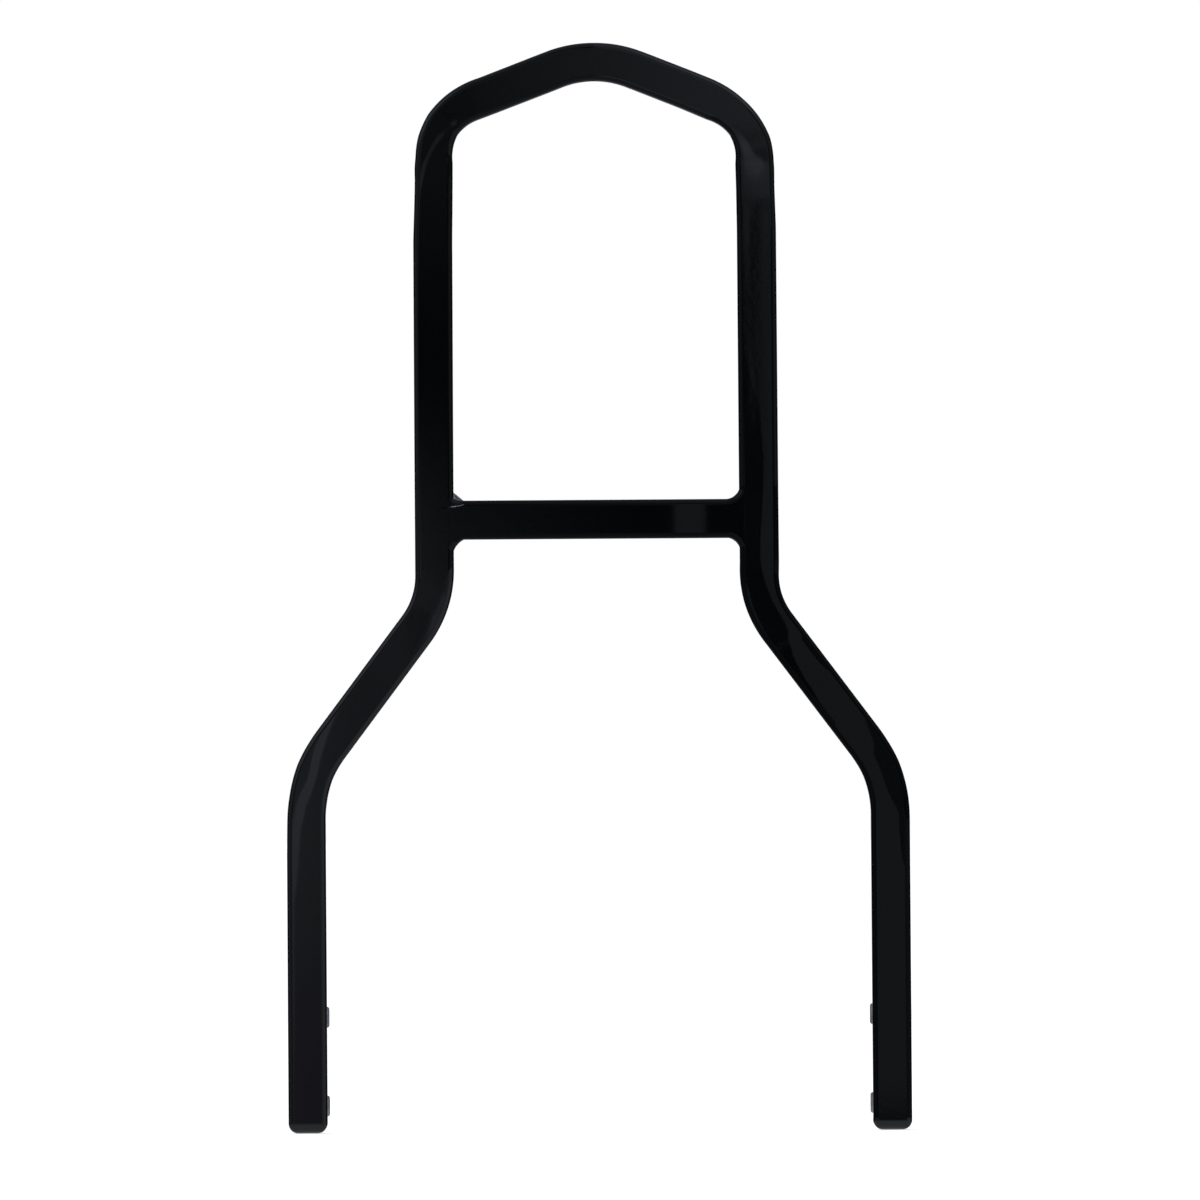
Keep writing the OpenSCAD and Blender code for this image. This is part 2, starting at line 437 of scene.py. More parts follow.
def section_ring(inner, outer, half_v, edge_r):
    """Ring of (u, v) points round a section: u from its inner to its outer side, v from front to back."""
    v_flat = half_v - edge_r
    front = flat_points(-(inner - edge_r), outer - edge_r, FRONT_STEPS)
    back = flat_points(-(inner - edge_r), outer - edge_r, BACK_STEPS)
    wall = flat_points(-v_flat, v_flat, WALL_STEPS)
    ring = [(u, -half_v) for u in front]
    ring += edge_arc(outer - edge_r, -v_flat, edge_r, -90)
    ring += [(outer, v) for v in wall]
    ring += edge_arc(outer - edge_r, v_flat, edge_r, 0)
    ring += [(u, half_v) for u in back[::-1]]
    ring += edge_arc(-(inner - edge_r), v_flat, edge_r, 90)
    ring += [(-inner, v) for v in wall[::-1]]
    ring += edge_arc(-(inner - edge_r), -v_flat, edge_r, 180)
    return np.array(ring)


# What bending and polishing left: edges a little off their lines, and a front that is not quite level

# Columns: distance down the tube from the apex, then how far the outer and the inner edge stand out, in mm
STRAY = {
    -1: [
        (0, 0.0, -0.3), (20, 0.2, -0.2), (46, 0.3, -0.4), (58, 0.95, -0.6), (67, 1.2, -0.8), (75, 0.5, 0.0),
        (82, -0.7, 0.45), (90, -0.9, 0.4), (98, -0.7, 0.3), (115, -0.1, 0.05), (194, 0.0, -0.1),
        (246, 0.0, -0.15), (337, 0.0, -0.15), (346, 0.2, -0.3), (358, -0.25, 0.0), (366, -0.3, 0.0),
        (380, -0.1, 0.0), (494, 0.0, 0.0),
    ],
    1: [
        (0, 0.0, -0.3), (20, 0.2, -0.3), (40, 0.05, -0.1), (52, -0.2, 0.3), (60, -0.2, 0.1),
        (68, 0.1, -0.25), (76, 0.3, 0.1), (84, -0.5, 0.45), (94, -0.5, 0.2), (110, 0.0, 0.0),
        (222, 0.25, -0.2), (246, 0.35, -0.3), (262, 0.1, 0.0), (337, -0.05, 0.0), (346, 0.25, -0.2),
        (358, 0.05, 0.0), (366, -0.15, 0.1), (494, 0.0, -0.1),
    ],
}

# The front mirrors the studio, which stands this far off: a millimetre there shows as one on the part
PLANE = 10000 * MM

# Streaks, where the front leans so that it mirrors what lies further out

# Columns: distance down the tube, place across it from -1 inside to 1 outside, half width, how far out in mm
STREAKS = {
    -1: [
        [(52, -0.5, 0.2, 0), (59, -0.42, 0.24, 80), (65, -0.28, 0.36, 138), (70, -0.1, 0.36, 116),
         (75, 0.02, 0.36, 102), (80, 0.2, 0.32, 93), (85, 0.42, 0.3, 89), (90, 0.54, 0.26, 88),
         (97, 0.7, 0.22, 82), (108, 0.75, 0.16, 0)],
        [(249, -0.8, 0.16, 0), (256, -0.73, 0.26, 62), (260, -0.66, 0.36, 95), (266, -0.57, 0.42, 102),
         (270, -0.62, 0.38, 102), (276, -0.75, 0.32, 98), (284, -0.85, 0.28, 84), (300, -0.9, 0.26, 50),
         (345, -0.9, 0.26, 30), (360, -0.9, 0.2, 0)],
        [(314, 0.8, 0.15, 0), (325, 0.74, 0.22, 70), (330, 0.62, 0.28, 75), (335, 0.45, 0.34, 75),
         (340, 0.3, 0.38, 75), (345, 0.13, 0.34, 72), (350, 0.05, 0.34, 68), (355, 0.14, 0.42, 65),
         (360, 0.28, 0.42, 60), (365, 0.36, 0.4, 55), (370, 0.5, 0.38, 50), (378, 0.55, 0.38, 38),
         (385, 0.6, 0.38, 36), (392, 0.66, 0.32, 33), (400, 0.74, 0.26, 27), (440, 0.76, 0.26, 25),
         (484, 0.76, 0.2, 8)],
    ],
    1: [
        [(64, -0.7, 0.15, 0), (70, -0.52, 0.24, 30), (75, -0.42, 0.34, 50), (80, -0.34, 0.42, 52),
         (83, -0.14, 0.86, 50), (86, -0.12, 0.95, 42), (90, -0.25, 0.9, 26), (95, -0.35, 0.8, 17),
         (100, -0.45, 0.55, 9), (108, -0.4, 0.4, 0)],
        [(98, -0.5, 0.2, 0), (104, -0.5, 0.22, 19), (112, -0.5, 0.22, 16), (120, -0.48, 0.24, 6),
         (139, -0.45, 0.26, 1.4), (155, -0.42, 0.28, 2), (165, -0.34, 0.28, 3), (180, -0.3, 0.28, 4.4),
         (192, -0.24, 0.26, 3), (202, -0.2, 0.2, 0)],
        [(98, 0.5, 0.2, 0), (107, 0.48, 0.24, 18), (115, 0.48, 0.26, 12), (125, 0.47, 0.28, 5),
         (139, 0.45, 0.3, 1.4), (185, 0.5, 0.3, 1.6), (205, 0.6, 0.3, 0)],
        [(250, -0.8, 0.12, 0), (257, -0.72, 0.18, 22), (268, -0.74, 0.18, 22), (282, -0.78, 0.1, 0)],
    ],
}
# Middle and width of a streak's fading, in its half widths
STREAK_FADE = (0.6, 0.7)

# The edge of a lighter wall, which the right half mirrors and its bends bend

# Columns: distance down the tube, how much holds, wall shown from and to, what is mirrored off and on it
WALL_VIEW = [
    (98, 0, -1.2, 1.3, 60, 65), (110, 1, -1.2, 1.3, 60, 65), (125, 1, -1.1, 1.2, 60, 63.9),
    (150, 1, -1.05, 1.1, 60, 63.7), (185, 1, 0.1, 1.0, 60, 63.7), (205, 1, 0.26, 0.95, 56, 65.5),
    (220, 1, 0.22, 1.05, 52, 72), (238, 1, 0.08, 1.1, 52, 75), (245, 1, 0.08, 1.2, 52, 75),
    (250, 1, 0.16, 1.1, 52, 75), (255, 1, 0.28, 1.0, 52, 75), (260, 1, 0.36, 0.95, 52, 75),
    (268, 1, 0.45, 0.95, 52, 75), (275, 1, 0.45, 0.95, 52, 75), (280, 1, 0.24, 0.9, 52, 75),
    (284, 1, -0.04, 0.56, 52, 75), (288, 1, -0.26, 0.54, 51.5, 75), (295, 1, -0.42, 0.54, 50, 75),
    (300, 1, -0.52, 0.6, 48.5, 75), (305, 1, -0.57, 0.92, 47, 75), (312, 1, -0.6, 1.2, 45, 75),
    (320, 1, -0.6, 1.1, 44, 75), (326, 1, -0.58, 0.62, 44, 75), (330, 1, -0.6, 0.46, 44, 75),
    (335, 1, -0.6, 0.3, 44, 75), (339, 1, -0.62, -0.04, 44, 75), (345, 1, -0.62, -0.06, 46, 75),
    (351, 1, -0.62, -0.07, 48, 75), (356, 1, -0.64, -0.02, 48, 75), (360, 1, -0.66, 0.1, 50, 75),
    (365, 1, -0.74, 0.38, 52, 75), (372, 1, -0.78, 0.4, 52, 75), (378, 1, -0.85, 0.44, 52, 75),
    (384, 1, -0.9, 0.56, 52, 75), (390, 1, -1.0, 0.76, 52, 75), (398, 1, -1.2, 1.1, 52, 75),
    (408, 0, -1.3, 1.2, 52, 75),
]
# Width across the tube over which the wall comes in
WALL_EDGE = 0.12

# Places across the front at which its lean is summed up
LEAN_GRID = np.linspace(-1, 1, 121)


def keyed(rows, distance):
    """The values at a distance down the tube, straight between the rows and held beyond them."""
    keys = [row[0] * MM for row in rows]
    return [np.interp(distance, keys, [row[i] for row in rows]) for i in range(1, len(rows[0]))]


def soft_step(value, middle, width):
    """0 to 1 over a width round a middle."""
    share = np.clip((value - middle) / width + 0.5, 0, 1)
    return share * share * (3 - 2 * share)


def carried_out(side, distance, across, out_x):
    """How much further out the front mirrors, at places across the tube that lie out_x from the middle."""
    further = np.zeros(len(across))
    for rows in STREAKS[side]:
        place, half_width, reach = keyed(rows, distance)
        share = np.abs(across - place) / half_width
        further += reach * MM * (1 - soft_step(share, *STREAK_FADE))
    if side > 0:
        holds, inner, outer, dark, light = keyed(WALL_VIEW, distance)
        shown = soft_step(across, inner, WALL_EDGE) * (1 - soft_step(across, outer, WALL_EDGE))
        light_x = np.maximum(light * MM, out_x)
        further += holds * (dark * MM + (light_x - dark * MM) * shown - out_x)
    return further


def set_back(side, spot, normal, distance, across):
    """How far the front is set back from its flat, at places across the tube from -1 to 1."""
    out_x = spot[0] + LEAN_GRID * HALF_W * normal[0]
    slopes = carried_out(side, distance, LEAN_GRID, out_x) / (2 * PLANE)
    falls = (slopes[1:] + slopes[:-1]) / 2 * np.diff(LEAN_GRID)
    fall = np.concatenate([[0], np.cumsum(falls)]) * HALF_W
    return np.interp(across, LEAN_GRID, fall - fall.min())


def placed_ring(ring, side, spot, way, distance):
    """A section's ring set square to the tube at a spot, with its front and back not quite level."""
    across = np.clip(ring[:, 0] / HALF_W, -1, 1)
    depth = np.clip(ring[:, 1] / HALF_W, -1, 1)
    normal = (-way[1], way[0])
    y = ring[:, 1] - set_back(side, spot, normal, distance, across) * depth
    x = spot[0] + ring[:, 0] * normal[0]
    z = spot[1] + ring[:, 0] * normal[1]
    return np.column_stack([side * x, y, z])


# The tubes and their plugs

END_STEPS = 8
BAR_STEPS = 80
HOLE_STEPS = 64
# Height at which the ground end takes over from the even rings
GROUND_Z = END_R + 0.5 * MM
# Height of the step from the end's mouth to the bore, and how far the bore goes past the plug
LIP = 0.12 * MM
PAST_PLUG = 1 * MM


def leg_ring(side, half, edge_r, z):
    """The ring of a square section across a leg, at a height."""
    ring = section_ring(half, half, half, edge_r)
    return np.column_stack([side * (LEG_X + ring[:, 0]), ring[:, 1], np.full(len(ring), z)])


def ground_rings(side):
    """Rings of a leg's ground end: round the edges, then up the bore past the plug."""
    mouth = HALF_W - BORE_HALF
    widest = math.acos(1 - mouth / END_R)
    rings = []
    for k in range(END_STEPS + 1):
        turn = widest * k / END_STEPS
        inset = END_R * (1 - math.cos(turn))
        share = inset / mouth
        edge_r = EDGE_R * (1 - share) + BORE_CORNER_R * share
        z = END_R * (1 - math.sin(turn))
        rings.append(leg_ring(side, HALF_W - inset, edge_r, z))
    rings.append(leg_ring(side, BORE_HALF, BORE_CORNER_R, z + LIP))
    rings.append(leg_ring(side, BORE_HALF, BORE_CORNER_R, PLUG_DEPTH + PAST_PLUG))
    return rings


def insert_places():
    """Side, height, piece name and node of each insert."""
    return [
        (side, z, f"{side_name}_{level}_bush", f"{side_name}_{level}_insert")
        for side, side_name in ((-1, "left"), (1, "right"))
        for level, z in zip(("lower", "upper"), INSERT_Z)
    ]


def cut_insert_holes(piece):
    """Round holes through the legs for the inserts."""
    cutter_mesh = bpy.data.meshes.new("hole_cutter")
    shell = bmesh.new()
    hole_r = INSERT_R + CLEARANCE
    turn = Vector((0, 0, 1)).rotation_difference(Vector((1, 0, 0))).to_matrix()
    for side, z, _, _ in insert_places():
        made = bmesh.ops.create_cone(
            shell, cap_ends=True, segments=HOLE_STEPS, radius1=hole_r, radius2=hole_r, depth=4 * HALF_W
        )
        bmesh.ops.rotate(shell, verts=made["verts"], cent=(0, 0, 0), matrix=turn)
        bmesh.ops.translate(shell, verts=made["verts"], vec=(side * LEG_X, 0, z))
    shell.to_mesh(cutter_mesh)
    shell.free()
    cutter = bpy.data.objects.new("hole_cutter", cutter_mesh)
    bpy.context.scene.collection.objects.link(cutter)
    holes = piece.modifiers.new("holes", "BOOLEAN")
    holes.object = cutter
    holes.operation = "DIFFERENCE"
    holes.solver = "EXACT"
    graph = bpy.context.evaluated_depsgraph_get()
    cut = bpy.data.meshes.new_from_object(piece.evaluated_get(graph))
    piece.modifiers.clear()
    piece.data = cut
    bpy.data.objects.remove(cutter)
    cut.set_sharp_from_angle(angle=math.radians(TUBE_SHARP))


def hoop_tube():
    """The bent tube, drawn in at each bend, with its ends ground round and open for their plugs."""
    spots, ways, stations = resample(hoop_line("centre"), RING_STEP)
    outer = reach_to(hoop_line("outer"), spots, ways)
    inner = reach_to(hoop_line("inner"), spots, ways)
    halves = {}
    for side in (1, -1):
        rings = []
        for spot, way, distance, near, far in zip(spots, ways, stations, inner, outer):
            if spot[1] < GROUND_Z:
                break
            out_stray, in_stray = keyed(STRAY[side], distance)
            ring = section_ring(near + in_stray * MM, far + out_stray * MM, HALF_W, EDGE_R)
            rings.append(placed_ring(ring, side, spot, way, distance))
        halves[side] = rings + ground_rings(side)
    halves[1][0] = (halves[1][0] + halves[-1][0]) / 2
    halves[1][0][:, 0] = 0.0
    points, faces = closed_stack(halves[-1][:0:-1] + halves[1])
    piece = make_piece("bent_tube", points, faces, COAT, ["hoop"])
    cut_insert_holes(piece)
    # Painted shade: dimmed coats on the right half's edges, and on the right-facing edges high on the left
    # upright
    coat_edges(piece, SHADED_EDGE_COAT, lambda at, way: at.x > 0 > way.x and RIGHT_COAT_Z <= at.z < SHOULDER_Z)
    coat_edges(piece, DEEP_SHADED_EDGE_COAT, lambda at, way: at.x > 0 and ENDS_COAT_Z < at.z < RIGHT_COAT_Z)
    coat_edges(piece, SHADED_EDGE_COAT, lambda at, way: at.x < 0 and at.z > LEFT_COAT_Z and way.x > abs(way.z))


def crossbar_tube():
    """The crossbar, square cut between the uprights."""
    ring = section_ring(HALF_W, HALF_W, BAR_LEVEL, EDGE_R)
    points, faces = closed_stack([
        np.column_stack([np.full(len(ring), x), ring[:, 1], CROSSBAR_Z + ring[:, 0]])
        for x in np.linspace(-JOINT_X, JOINT_X, BAR_STEPS + 1)
    ])
    piece = make_piece("crossbar_tube", points, faces, BAR_COAT, ["crossbar"])
    # Painted shade: the dimmed coat on all the crossbar's edges
    coat_edges(piece, SHADED_EDGE_COAT, lambda at, way: True)


def leg_plug(side, name, node):
    """The plug in a leg's end, ground round with the tube."""
    first = math.acos(1 - (HALF_W - BORE_HALF) / END_R)
    rings = [leg_ring(side, BORE_HALF - CLEARANCE, BORE_CORNER_R, PLUG_DEPTH)]
    for k in range(END_STEPS + 1):
        turn = first + (math.pi / 2 - first) * k / END_STEPS
        half = HALF_W - END_R * (1 - math.cos(turn)) - CLEARANCE
        rings.append(leg_ring(side, half, BORE_CORNER_R, END_R * (1 - math.sin(turn))))
    points, faces = closed_stack(rings)
    make_piece(name, points, faces, COAT, [node])


# Threaded inserts

THREAD_PITCH = 1.0 * MM
MINOR_R = 2.5 * MM
THREAD_DEPTH = 0.5 * MM
# Slope of the thread's flanks, and how much is cut off them, both in its depth
FLANK_SLOPE = 1.5
FLANK_CUT = 0.25
RIM_R = 0.95 * MM
CHAMFER = 0.15 * MM
COUNTERSINK = 0.4 * MM
RIM_STEPS = 6
PITCH_STEPS = 8
TURN_STEPS = 48


def thread_r(along, turn):
    """Radius of the threaded bore at a distance along it and a share of a turn round it."""
    phase = (along / THREAD_PITCH - turn) % 1.0
    groove = min(1.0, max(0.0, FLANK_SLOPE * abs(2 * phase - 1) - FLANK_CUT))
    return MINOR_R + THREAD_DEPTH * groove


def insert_bush(side, z, name, node):
    """A turned bush through the leg, with a metric thread, level outside and proud inside."""
    outside = [(0.0, INSERT_R - CHAMFER), (CHAMFER, INSERT_R), (INSERT_L - RIM_R, INSERT_R)]
    for k in range(1, RIM_STEPS + 1):
        turn = math.radians(90 * k / RIM_STEPS)
        outside.append((INSERT_L - RIM_R + RIM_R * math.sin(turn), INSERT_R - RIM_R * (1 - math.cos(turn))))
    profile = [(along, lambda turn, r=r: r) for along, r in outside]
    bore = np.linspace(INSERT_L, 0, PITCH_STEPS * round(INSERT_L / THREAD_PITCH) + 1)
    for along in bore:
        cone = MINOR_R + max(COUNTERSINK - along, COUNTERSINK - (INSERT_L - along), 0.0)
        profile.append((along, lambda turn, a=along, c=cone: max(thread_r(a, turn), c)))
    outer_face = LEG_X + HALF_W
    points = []
    for along, radius in profile:
        for k in range(TURN_STEPS):
            turn = k / TURN_STEPS
            angle = 2 * math.pi * turn
            r = radius(turn)
            points.append((side * (outer_face - along), r * math.cos(angle), z + r * math.sin(angle)))
    faces = tube_faces(len(profile), TURN_STEPS, closed_rings=True)
    make_piece(name, points, faces, STEEL, [node], sharp=BUSH_SHARP)


# Welds round the crossbar's ends

# Each corner midway through its depth, then in front: legs in mm, and fill from 0, hollow, to 1, straight
WELDS = {
    1: {
        "name": "right",
        "upper": [(5.2, 4.7, 0.15), (5.2, 4.7, 0.15)],
        "lower": [(4.5, 4.3, 0.3), (4.5, 4.3, 0.3)],
    },
    -1: {
        "name": "left",
        "upper": [(4.2, 3.4, 0.95), (3.1, 1.1, 0.8)],
        "lower": [(4.2, 4.7, 0.45), (4.2, 4.7, 0.45)],
    },
}
# How far the upright's inner edge stands back at the joint
JOINT_STRAY = {1: 0.35 * MM, -1: 0.2 * MM}
# How far the seams dip at their borders, and over what run
SEAM_DIP = 0.03 * MM
SEAM_RUN = 0.05 * MM
# How far the welds reach into the tubes
CORE_IN = 0.3 * MM
FILLET_STEPS = 20
DEPTH_STEPS = 28
# Height in millimetres and fineness per metre of the bead's uneven ripples and of its even waves
RIPPLE_MM = 0.14
RIPPLE_SCALE = 900
WAVE_MM = 0.05
WAVE_SCALE = 3600


def fillet_rows(legs):
    """Points along a corner's face, from the crossbar to the upright."""
    along_leg, up_leg, fill = legs[0] * MM, legs[1] * MM, legs[2]
    share = np.linspace(0, 1, FILLET_STEPS + 1)
    turn = math.pi / 2 * share
    hollow = np.column_stack([-along_leg * (1 - np.sin(turn)), HALF_W + up_leg * (1 - np.cos(turn))])
    straight = np.column_stack([-along_leg * (1 - share), HALF_W + up_leg * share])
    return hollow * (1 - fill) + straight * fill


def bead_lift(side, up, share, v):
    """How far the bead stands out at a share of its way round the corner and a depth."""
    ripple = noise.noise(Vector((v * RIPPLE_SCALE, share * 3, side * 7.0 + up * 3.0)))
    uneven = RIPPLE_MM * ripple + WAVE_MM * math.sin(v * WAVE_SCALE)
    return uneven * MM * math.sin(math.pi * share)


def weld_corner(side, up, sizes):
    """One corner fillet: hollow face with a run of ripples, its front and back level with the tubes."""
    middle_rows, rows = (fillet_rows(legs) for legs in sizes)
    along_leg, up_leg = sizes[1][0] * MM, sizes[1][1] * MM
    ways = np.gradient(rows, axis=0)
    ways /= np.linalg.norm(ways, axis=1)[:, None]
    normals = np.column_stack([-ways[:, 1], ways[:, 0]])
    v_flat = SEAM_LEVEL - EDGE_R
    start = np.array([-along_leg, HALF_W - EDGE_R - CORE_IN])
    bend = np.array([EDGE_R + CORE_IN, HALF_W - EDGE_R - CORE_IN])
    end = np.array([EDGE_R + CORE_IN, HALF_W + up_leg])
    run, rise = np.linalg.norm(bend - start), np.linalg.norm(end - bend)
    rings = []
    for k, (spot, normal) in enumerate(zip(rows, normals)):
        share = k / FILLET_STEPS
        gone = share * (run + rise)
        if gone < run:
            core = start + (bend - start) * gone / run
        else:
            core = bend + (end - bend) * (gone - run) / rise
        shoulder = spot - normal * EDGE_R
        towards = (shoulder - core) / np.linalg.norm(shoulder - core)
        level = core + towards * SEAM_RUN
        front = [(*core, -SEAM_LEVEL + SEAM_DIP), (*level, -SEAM_LEVEL)]
        front.append((*(shoulder - towards * HOLD), -SEAM_LEVEL))
        for j in range(EDGE_STEPS + 1):
            angle = math.pi / 2 * j / EDGE_STEPS
            rim = shoulder + normal * EDGE_R * math.sin(angle)
            front.append((*rim, -v_flat - EDGE_R * math.cos(angle)))
        face = []
        for j in range(1, DEPTH_STEPS):
            v = -v_flat + 2 * v_flat * j / DEPTH_STEPS
            crown = (middle_rows[k] - spot) * (1 - (v / v_flat) ** 2)
            face.append((*(spot + crown + normal * bead_lift(side, up, share, v)), v))
        back = [(p, q, -y) for p, q, y in reversed(front)]
        along, height, depth = np.array(front + face + back).T
        x = side * (JOINT_X + JOINT_STRAY[side] + along)
        rings.append(np.column_stack([x, depth, CROSSBAR_Z + up * height]))
    return closed_stack(rings)


def weld_seam(side, front):
    """The filled seam in front or behind, level with the flats on both sides of it."""
    top = HALF_W - EDGE_R - CORE_IN + SEAM_RUN
    across = [(-SEAM_RUN, SEAM_DIP), (0.0, 0.0), (EDGE_R, 0.0), (EDGE_R + SEAM_RUN, SEAM_DIP)]
    heights = [-top - SEAM_RUN, -top, top, top + SEAM_RUN]
    rings = []
    for i, z in enumerate(heights):
        low = SEAM_DIP if i in (0, len(heights) - 1) else 0.0
        ring = [(p, SEAM_LEVEL - max(dip, low)) for p, dip in across]
        ring += [(across[-1][0], HALF_W - EDGE_R), (across[0][0], HALF_W - EDGE_R)]
        rings.append(np.array([(side * (JOINT_X + p), front * y, CROSSBAR_Z + z) for p, y in ring]))
    return closed_stack(rings)


# The crease where the left weld ran onto the crossbar, a light line that paints its highlight: x, z and half
# its width, in millimetres
CREASE = [
    (-64.4, 254.1, 0.04), (-63.0, 254.25, 0.11), (-61.2, 254.5, 0.16), (-59.4, 254.8, 0.1),
    (-57.8, 254.95, 0.17), (-56.2, 255.15, 0.17), (-55.0, 255.45, 0.14), (-53.8, 255.8, 0.05),
]
CREASE_DEPTH = 0.2 * MM
# How far a face stands in front of the seams where it is the crease's
CREASE_PROUD = 0.003 * MM
# Height above the crossbar from which the left weld's upper face takes the painted highlight
HIGHLIGHT_FROM = 0.2 * MM
# How far a weld face's normal points to the front or back where it is level with the tubes
LEVEL_NORMAL = 0.995


def weld_crease():
    """A thin light line in the front of the left joint, a painted highlight along the crease."""
    rings = []
    for x, z, half in CREASE:
        corners = [(-half, 0.0), (half, 0.0), (half, CREASE_DEPTH), (-half, CREASE_DEPTH)]
        rings.append(np.array([(x * MM, -HALF_W + back, (z + rise) * MM) for rise, back in corners]))
    return closed_stack(rings)


def finish_weld(piece, side):
    """Gives the weld's edges the dimmed coat that paints shade, its level faces the tubes' coat, and the left
    weld's upper face and crease a painted highlight.
    """
    coat_edges(piece, SHADED_EDGE_COAT, lambda at, way: True)
    level_place = len(piece.data.materials)
    highlight_place = level_place + 1
    piece.data.materials.append(BAR_COAT)
    piece.data.materials.append(WELD_HIGHLIGHT)
    for face in piece.data.polygons:
        at = face.center
        # Painted highlight: the crease and the upper face of the left weld take the light weld metal
        crease = at.y < -SEAM_LEVEL - CREASE_PROUD
        highlit_face = at.z > CROSSBAR_Z + HALF_W + HIGHLIGHT_FROM and abs(at.y) < HALF_W - EDGE_R / 2
        if side < 0 and (crease or highlit_face):
            face.material_index = highlight_place
        elif abs(face.normal.y) > LEVEL_NORMAL:
            face.material_index = level_place


def weld_bead(side):
    """The weld round one end of the crossbar."""
    sizes = WELDS[side]
    parts = [
        weld_corner(side, 1, sizes["upper"]),
        weld_corner(side, -1, sizes["lower"]),
        weld_seam(side, -1),
        weld_seam(side, 1),
    ]
    if side < 0:
        parts.append(weld_crease())
    points, faces = [], []
    for part_points, part_faces in parts:
        shift = len(points)
        points += [tuple(p) for p in part_points]
        faces += [tuple(i + shift for i in face) for face in part_faces]
    name = sizes["name"]
    nodes = [f"{name}_weld"]
    piece = make_piece(f"{name}_weld_bead", points, faces, WELD_COAT, nodes, sharp=WELD_SHARP)
    finish_weld(piece, side)


hoop_tube()
crossbar_tube()
for side, name in ((-1, "left"), (1, "right")):
    leg_plug(side, f"{name}_leg_plug", f"{name}_plug")
    weld_bead(side)
for side, z, name, node in insert_places():
    insert_bush(side, z, name, node)


# Studio

# What the photograph's frame takes in, measured on it
PHOTO_WIDTH_PX = 1200
PX_PER_MM = 2.4535
CENTRE_LINE_PX = 596.9
LEG_END_PX = 1131.2
ROLL = 0.0067
SENSOR = 36.0
AIM_X = (PHOTO_WIDTH_PX / 2 - CENTRE_LINE_PX) / PX_PER_MM * MM
AIM_Z = (LEG_END_PX - PHOTO_WIDTH_PX / 2) / PX_PER_MM * MM
CLIP_START = 0.1
CLIP_END = 60.0

# Strength of the even light on the colours
SOFT_LIGHT = 0.75
# The room in the gloss: its least brightness, its usual tint, and the purple one low on the left
ROOM_DIM = 0.006
ROOM_TINTS = [(0.89, 0.955, 1.08, 1), (1.03, 0.9, 1.22, 1)]

# Half the floor's side, and how far it lies below the legs' ends
FLOOR_REACH = 12.0
FLOOR_DROP = 0.2 * MM
FLOOR_GREY = (0.82, 0.82, 0.82, 1)
FLOOR_WHITENING = 0.5
# The glow round a leg's end in the gloss: its colour and strength, where it starts to fade and where it ends
GLOW_COLOUR = (0.9, 0.95, 1.0, 1)
GLOW_STRENGTH = 0.55
GLOW_FROM = 0.010
GLOW_TO = 0.045

# The middle of the part, at which the lamp aims
LAMP_AIM = (0, 0, 0.2)


def camera():
    """Level view square to the front from far off, with the slight roll of the photograph."""
    data = bpy.data.cameras.new("camera")
    data.sensor_width = SENSOR
    data.lens = SENSOR * PLANE / (PHOTO_WIDTH_PX / PX_PER_MM * MM)
    eye = bpy.data.objects.new("camera", data)
    bpy.context.scene.collection.objects.link(eye)
    eye.location = (AIM_X, -PLANE, AIM_Z)
    eye.rotation_euler = (math.pi / 2, ROLL, 0)
    data.clip_start = CLIP_START
    data.clip_end = CLIP_END
    bpy.context.scene.camera = eye


class Shading:
    """Builds chains of nodes from sockets and numbers."""

    def __init__(self, tree):
        self.tree = tree

    def math(self, operation, *values):
        """A Math node."""
        node = self.tree.nodes.new("ShaderNodeMath")
        node.operation = operation
        for socket, value in zip(node.inputs, values):
            if isinstance(value, (int, float)):
                socket.default_value = value
            else:
                self.tree.links.new(value, socket)
        return node.outputs[0]

    def parts(self, vector):
        """The X, Y and Z of a vector."""
        node = self.tree.nodes.new("ShaderNodeSeparateXYZ")
        self.tree.links.new(vector, node.inputs[0])
        return [node.outputs[axis] for axis in "XYZ"]

    def add(self, *values):
        """The sum of two or more."""
        total = values[0]
        for value in values[1:]:
            total = self.math("ADD", total, value)
        return total

    def times(self, *values):
        """The product of two or more."""
        total = values[0]
        for value in values[1:]:
            total = self.math("MULTIPLY", total, value)
        return total

    def length(self, across, up):
        """The distance that is so much across and so much up."""
        return self.math("SQRT", self.add(self.times(across, across), self.times(up, up)))

    def held(self, value, low, high):
        """The value, held between low and high."""
        return self.math("MINIMUM", self.math("MAXIMUM", value, low), high)

    def rise(self, value, low, high):
        """0 below low and 1 above high, smooth between."""
        node = self.tree.nodes.new("ShaderNodeMapRange")
        node.interpolation_type = "SMOOTHSTEP"
        node.inputs["From Min"].default_value = low
        node.inputs["From Max"].default_value = high
        self.tree.links.new(value, node.inputs["Value"])
        return node.outputs["Result"]

    def fall(self, value, low, high):
        """1 below low and 0 above high, smooth between."""
        return self.math("SUBTRACT", 1.0, self.rise(value, low, high))

    def facing(self, direction, way, narrow, wide):
        """A soft round card in a direction: 1 inside the narrow angle, 0 outside the wide one, in degrees."""
        node = self.tree.nodes.new("ShaderNodeVectorMath")
        node.operation = "DOT_PRODUCT"
        self.tree.links.new(direction, node.inputs[0])
        node.inputs[1].default_value = Vector(way).normalized()
        cosines = [math.cos(math.radians(angle)) for angle in (wide, narrow)]
        return self.rise(node.outputs["Value"], *cosines)


# The room in the gloss: a rise or fall goes between its two places, and a plain last factor is a brightness


